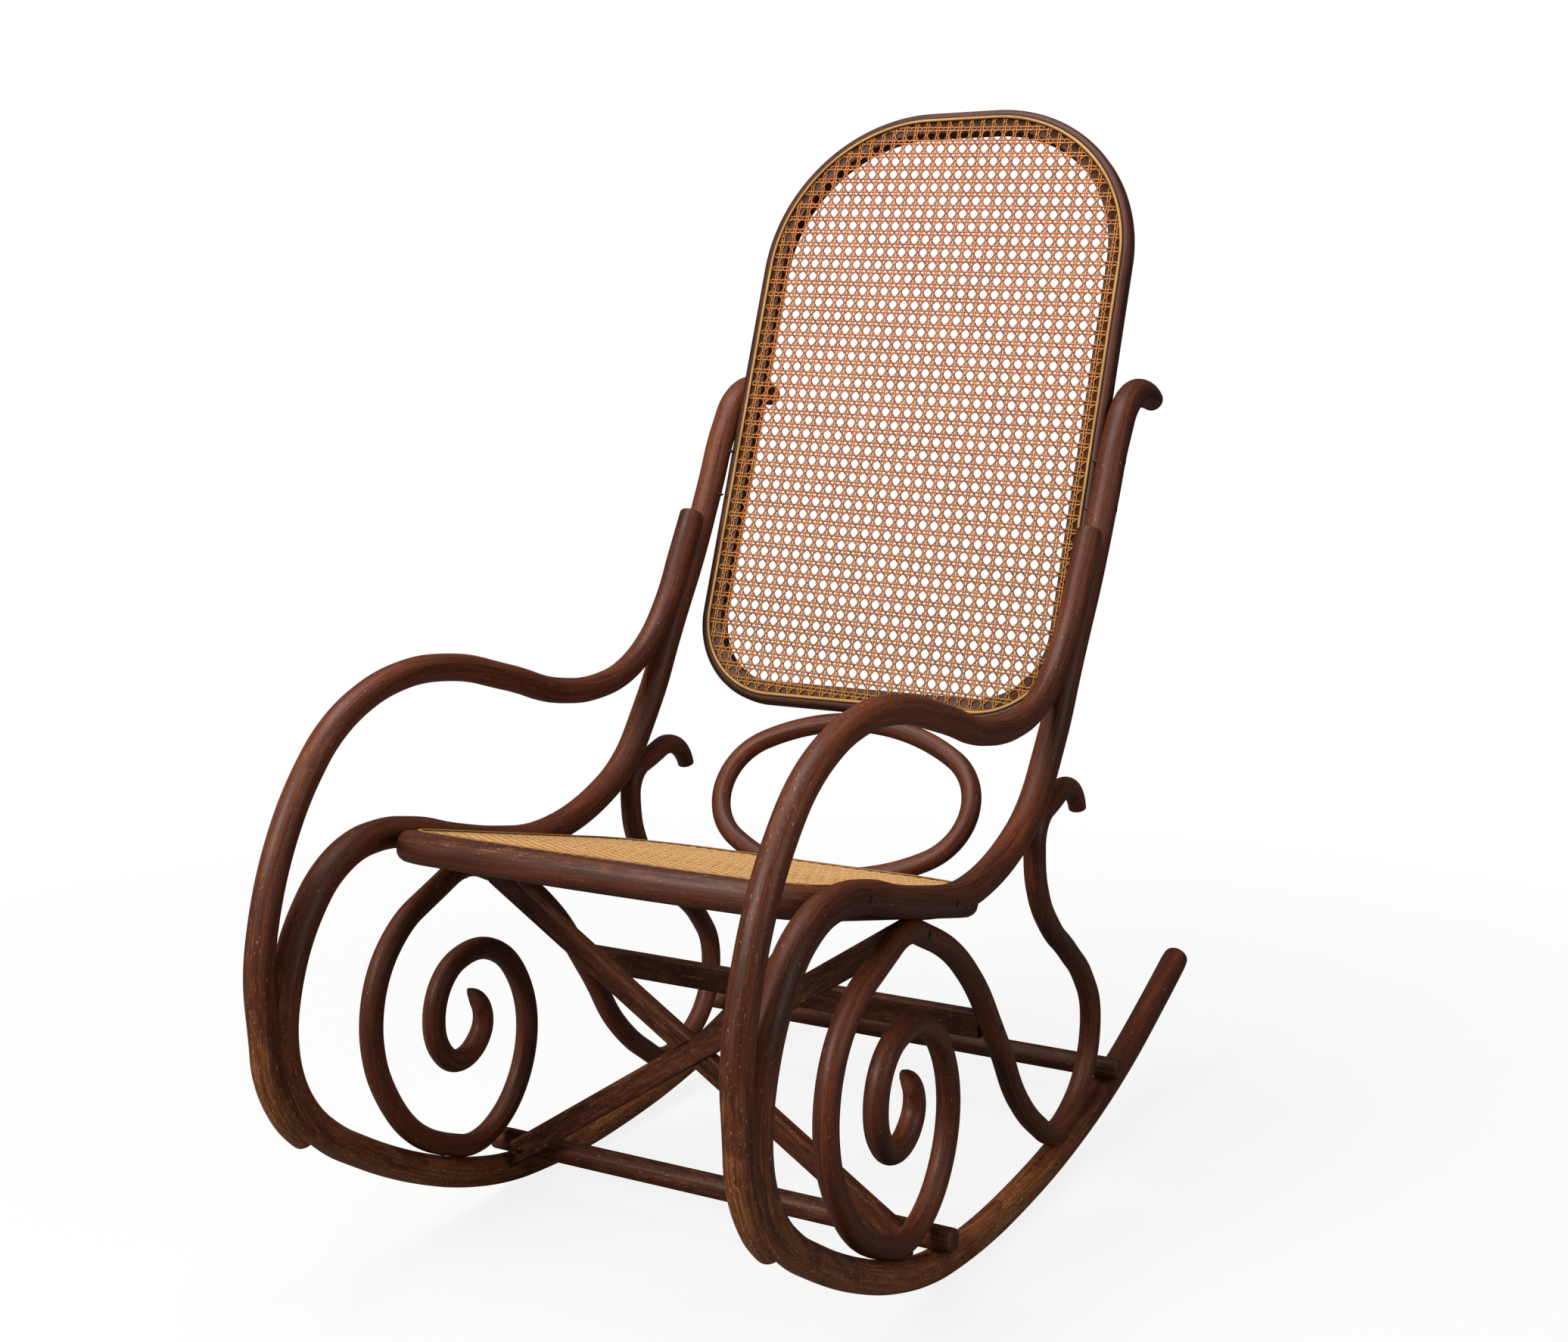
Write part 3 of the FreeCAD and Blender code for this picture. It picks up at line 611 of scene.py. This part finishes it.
seat_path = outline(RING_HALF_W, SEAT_LENGTH, SEAT_FRONT_R, SEAT_BACK_R, SEAT_BOW)
back_path = outline(RING_HALF_W, BACK_LENGTH, BACK_LOW_R, BACK_TOP_R)
hoop("seat_ring_wood", seat_path, ring_section(SEAT_RING_W, SEAT_RING_T, SEAT_REBATE, 10.6 * MM), on_seat,
     beech_seat, "seat_ring", seat_wear, 2.0)
hoop("back_ring_wood", back_path, ring_section(BACK_RING_W, BACK_RING_T, BACK_REBATE, 5.6 * MM), on_back,
     beech_back, "back_ring", 0.05, 2.5)
hoop("seat_strip", seat_path, strip_section(SEAT_REBATE), on_seat, strip_skin, "seat_binder",
     0.2, 3.0, strip_shaded_rim)
hoop("back_strip", back_path, strip_section(BACK_REBATE), on_back, strip_skin, "back_binder",
     0.2, 3.5, strip_shaded_rim)

OVAL_SIDES = 24
foot = on_seat(np.array(1j * (SEAT_LENGTH + OVAL_R + GAP)), -SEAT_RING_T / 2)
head = on_back(np.array(-1j * (OVAL_R + GAP)), -BACK_RING_T / 2)
oval_rise = np.arctan2(head[2] - foot[2], head[1] - foot[1])
oval_half_h = np.hypot(head[1] - foot[1], head[2] - foot[2]) / 2


def on_oval(plane, height):
    """Oval plane to space, through the points where it meets the seat and the back."""
    c, s = np.cos(oval_rise), np.sin(oval_rise)
    y, z = (foot[1] + head[1]) / 2, (foot[2] + head[2]) / 2
    return np.stack([plane.real, y + plane.imag * c - height * s, z + plane.imag * s + height * c], -1)


def oval_path(half_w, half_h, end_r):
    """Four arcs: two of end_r at the ends and two wide ones that touch them."""
    wide = (half_w ** 2 + half_h ** 2 - 2 * half_w * end_r) / (2 * (half_h - end_r))
    turn = np.arctan2(half_w - end_r, wide - half_h)
    knot = complex(half_w - end_r + end_r * np.sin(turn), -end_r * np.cos(turn))
    return closed_path([-1j * half_h, knot, np.conj(knot), -knot, -np.conj(knot), -1j * half_h])


oval_section = OVAL_R * np.exp(-1j * np.linspace(0, 2 * np.pi, OVAL_SIDES, endpoint=False))
hoop("oval_wood", oval_path(OVAL_HALF_W - OVAL_R, oval_half_h, OVAL_END_R), oval_section, on_oval, beech,
     "back_oval", 0.05, 4.0)


# Woven cane

STRIP_T = 0.5 * MM
PAIR_U = 1.3 * MM                         # half the distance between the two strips of a pair
PAIR_V = 1.75 * MM
PAIR_STRIP = (1.8 * MM, 0.4 * MM)         # a strip's width and the width of its bevels
RISING_STRIP = (1.5 * MM, 0.35 * MM)
# The falling strips' wider bevels carry a wider painted shadow line along their sides
FALLING_STRIP = (1.5 * MM, 0.65 * MM)
CANE_DEPTH = -0.8 * MM                    # the weave's middle, under the top of the ring
PAIR_RISE = 0.34 * MM
SLANT_RISE = 0.62 * MM
SEAT_CANE_EDGE = 17 * MM                  # where the weave ends, in from the ring's outline
BACK_CANE_EDGE = 9.5 * MM
AGED_EDGE = 30 * MM
AGED_SHARE = 0.85
AGED_LOW_SHARE = 0.4
TONE_SPREAD = 0.3
GRAIN_SPREAD = 9
REACH = np.arange(-1.0, 1.0, 0.5 * MM)    # places along a strip, past the panel at both ends
SHORTEST = 12                             # a strip of fewer places is left out


def inside(u, v, half_w, length, near_r, far_r, bow):
    """How far a point lies inside a rounded outline: the signed distance of a rounded box."""
    v = v - bow * (u / half_w) ** 2
    r = np.where(v < length / 2, near_r, far_r)
    du = abs(u) - (half_w - r)
    dv = np.where(v < length / 2, r - v, v - (length - r))
    return r - np.where((du > 0) & (dv > 0), np.hypot(du, dv), np.maximum(du, dv))


def strips(name, starts, way, height, sample, size, seed, place, limits, edge, material, stands_for):
    """One family of strips: straight in the panel, rising and falling over the others.

    A point is start + t way + width, at height(point, strip). The section is a thin strip whose
    sides slope over the bevel; shaded_rim is 1 at its feet and 0 on its crown, and darkens the
    feet: painted shade beside the strip, with some grime. sample(start) gives the places t where
    the strip needs points. Each strip is cut off at the panel's edge. It is older, by its wear,
    near the frame and low in the panel, and by chance from strip to strip.
    """
    rng = np.random.default_rng(seed)
    width, bevel = size
    crown = 0.5 - bevel / width
    shape = np.array([[-0.5, 0.0], [-crown, 1.0], [crown, 1.0], [0.5, 0.0]])
    corners, grain, age, shaded_rim, faces, count = [], [], [], [], [], 0
    for k, start in enumerate(starts):
        p = start + way * REACH
        kept = REACH[inside(p.real, p.imag, *limits) > edge]
        tone = rng.uniform(0, TONE_SPREAD)
        if len(kept) < SHORTEST:
            continue
        knots = sample(start)
        between = knots[(knots > kept[0] + MM) & (knots < kept[-1] - MM)]
        t = np.concatenate([[kept[0]], between, [kept[-1]]])
        p = start + way * t
        plane = p[:, None] + 1j * way * shape[None, :, 0] * -width
        up = height(p, k)[:, None] + (shape[None, :, 1] - 0.5) * STRIP_T
        corners.append(place(plane, up).reshape(-1, 3))
        across = np.broadcast_to(shape[:, 0] * width + rng.uniform(0, GRAIN_SPREAD), up.shape)
        grain.append(np.stack([across, up, np.broadcast_to(t[:, None], up.shape)], -1).reshape(-1, 3))
        aged = np.clip(1 - inside(plane.real, plane.imag, *limits) / AGED_EDGE, 0, 1)
        low = np.clip(1 - plane.imag / limits[1], 0, 1) ** 2
        age.append((aged * AGED_SHARE + AGED_LOW_SHARE * low + tone).ravel())
        # Painted shade: 1 at the strip's feet, which the material darkens
        shaded_rim.append(np.broadcast_to(shape[:, 1] < 0.5, up.shape).ravel())
        faces += grid_faces(len(t), 4, start=count)
        faces += [[count + c for c in (3, 2, 1, 0)], [count + (len(t) - 1) * 4 + c for c in range(4)]]
        count += len(t) * 4
    add_piece(name, np.concatenate(corners), faces, material, stands_for, np.concatenate(grain),
              np.concatenate(age), np.concatenate(shaded_rim))


def woven_panel(node, pitch_v, v0, tilt, seed, *panel):
    """Six-way cane: pairs up and across woven plainly, and two diagonals that pass between them.

    Pairs lie on a grid of the pitch, the crosswise ones tilted by a slope. At a crossing a strip
    rises with sin(pi d / 2 pair) beside it. A diagonal rises with cos(2 pi u / pitch): over one
    kind of pair and under the other. The ranges of columns, rows and diagonals go past the panel.
    """
    along = complex(1, -tilt)
    columns = np.arange(-20, 21) * CANE_PITCH
    rows = v0 + np.arange(-6, 62) * pitch_v
    near_knot = np.array([-2.6, -1.5, -0.5, 0.5, 1.5, 2.6, 6.3]) * MM
    sample_u = (columns[:, None] + near_knot).ravel()
    sample_v = (rows[:, None] + near_knot).ravel()

    def wave(d, pitch, pair):
        d = (d + pitch / 2) % pitch - pitch / 2
        return np.sin(np.pi * d / (2 * pair)) * np.exp(-(d / (2.2 * pair)) ** 2)

    def upright_height(p, k):
        beside = p.imag + tilt * p.real - v0
        return CANE_DEPTH + PAIR_RISE * (1 if k % 2 else -1) * wave(beside, pitch_v, PAIR_V)

    def crosswise_height(p, k):
        return CANE_DEPTH - PAIR_RISE * (1 if k % 2 else -1) * wave(p.real, CANE_PITCH, PAIR_U)

    strips(node + "_upright", [c + d for c in columns for d in (-PAIR_U, PAIR_U)], 1j, upright_height,
           lambda start: sample_v - tilt * start.real, PAIR_STRIP, seed, *panel, node)
    strips(node + "_crosswise", [1j * (r + d) for r in rows for d in (-PAIR_V, PAIR_V)], unit(along),
           crosswise_height, lambda start: sample_u * abs(along), PAIR_STRIP, seed + 1, *panel, node)
    numbers = np.arange(-90, 91)
    starts = [complex(0, v0) + (k + 0.5) * CANE_PITCH * along for k in numbers]
    quarters = np.array([-0.25, -0.12, 0, 0.12, 0.25])
    for tag, sign, size, draw in (("_rising", 1, RISING_STRIP, seed + 3),
                                  ("_falling", -1, FALLING_STRIP, seed + 1)):
        slant = CANE_PITCH * along + 1j * sign * pitch_v
        sample = np.unique((numbers[:, None] * abs(slant) / 2 + quarters * abs(slant)).ravel())
        strips(node + tag, starts, unit(slant),
               lambda p, k: CANE_DEPTH + SLANT_RISE * sign * np.cos(2 * np.pi * p.real / CANE_PITCH),
               lambda start: sample, size, draw, *panel, node)


woven_panel("seat_cane", SEAT_ROW_PITCH, SEAT_FIRST_ROW, 0.0, 11, on_seat,
            (RING_HALF_W, SEAT_LENGTH, SEAT_FRONT_R, SEAT_BACK_R, SEAT_BOW), SEAT_CANE_EDGE, seat_skin)
woven_panel("back_cane", BACK_ROW_PITCH, BACK_FIRST_ROW, BACK_ROW_TILT, 21, on_back,
            (RING_HALF_W, BACK_LENGTH, BACK_LOW_R, BACK_TOP_R, 0.0), BACK_CANE_EDGE, back_skin)


# Straight bars and screws keep the model's shapes

finishes = dict.fromkeys(("front_stretcher", "rear_stretcher", "upper_stretcher"), beech_across)
# The braces are the darker copy at 0.7 as well: painted shade
for name, turn in (("brace_left", BRACE_TURN), ("brace_right", -BRACE_TURN)):
    finishes[name] = shellacked_beech("shellacked stained beech, " + name, turn, 0.7)
finishes.update((name, steel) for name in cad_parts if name.endswith("_screws"))
for name, finish in finishes.items():
    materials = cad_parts[name].data.materials
    materials.clear()
    materials.append(finish)


# Studio: white floor, one large overhead light, a softer one from the left

FLOOR_HALF = 30
PHOTO_WIDTH = 2072
FOCAL_PIXELS = 2700
SENSOR = 36


def studio_floor():
    """A white floor that the camera sees mostly as plain white light, so only the shadow shows.

    The plain share is 0.85 + 0.15 away, and away goes from 0 at 0.55 m to 1. Other rays see a
    dim floor, so that it throws little light up under the chair.
    """
    r = FLOOR_HALF
    mesh = bpy.data.meshes.new("floor")
    mesh.from_pydata([(-r, -r, 0), (r, -r, 0), (r, r, 0), (-r, r, 0)], [], [(0, 1, 2, 3)])
    material, tree = new_material("white studio floor")
    paint = add(tree, "BsdfDiffuse", {"Color": linear("#f3f3f3")})
    dim = add(tree, "BsdfDiffuse", {"Color": linear("#767676")})
    glow = add(tree, "Emission", {"Color": linear("#ffffff"), "Strength": 1.0})
    eye = add(tree, "LightPath").outputs["Is Camera Ray"]
    place = add(tree, "TexCoord").outputs["Object"]
    away = add(tree, "VectorMath", {0: place}, operation="LENGTH")
    away = add(tree, "Math", {0: away, 1: 0.55}, operation="SUBTRACT")
    away = add(tree, "Math", {0: away, 1: 0.9}, operation="MULTIPLY", use_clamp=True)
    plain = add(tree, "Math", {0: away, 1: 0.15, 2: 0.85}, operation="MULTIPLY_ADD")
    white = add(tree, "MixShader", {0: plain, 1: paint, 2: glow})
    shown = add(tree, "MixShader", {0: eye, 1: dim, 2: white})
    add(tree, "OutputMaterial", {"Surface": shown})
    mesh.materials.append(material)
    floor = bpy.data.objects.new("floor", mesh)
    bpy.context.scene.collection.objects.link(floor)


def soft_light(name, place, target, size, power, colour=(1, 1, 1)):
    """A round area light at a place, turned to its target."""
    light = bpy.data.lights.new(name, "AREA")
    light.shape = "DISK"
    light.size = size
    light.energy = power
    light.color = colour
    lamp = bpy.data.objects.new(name, light)
    lamp.location = place
    lamp.rotation_euler = (Vector(target) - Vector(place)).to_track_quat("-Z", "Y").to_euler()
    bpy.context.scene.collection.objects.link(lamp)


studio_floor()
soft_light("overhead", (-0.3, -0.5, 3.2), (0, 0, 0.4), 2.0, 62)
soft_light("front left", (-0.9, -2.9, 2.3), (0, -0.1, 0.5), 1.3, 80, (1.0, 0.96, 0.9))
soft_light("right", (2.8, -0.6, 1.4), (0, 0, 0.5), 1.2, 14)

# White to the eye, and a faint even light on the chair: 0.08 + 0.92 for rays that the eye sees
world = bpy.data.worlds.new("studio")
world.use_nodes = True
sky = world.node_tree
sky.nodes.clear()
eye = add(sky, "LightPath")
seen = add(sky, "Math", {0: eye.outputs["Is Camera Ray"], 1: eye.outputs["Is Transmission Ray"]},
           operation="MAXIMUM")
strength = add(sky, "Math", {0: seen, 1: 0.92, 2: 0.08}, operation="MULTIPLY_ADD")
light = add(sky, "Background", {"Strength": strength, "Color": linear("#ffffff")})
add(sky, "OutputWorld", {"Surface": light})
bpy.context.scene.world = world

camera = bpy.data.cameras.new("camera")
camera.sensor_width = SENSOR
camera.lens = SENSOR * FOCAL_PIXELS / PHOTO_WIDTH
viewer = bpy.data.objects.new("camera", camera)
viewer.location = (0.91813, -1.65780, 0.79833)
viewer.rotation_euler = Vector((-0.48175, 0.86259, -0.15444)).to_track_quat("-Z", "Y").to_euler()
bpy.context.scene.collection.objects.link(viewer)
bpy.context.scene.camera = viewer
bpy.context.scene.view_settings.view_transform = "Standard"
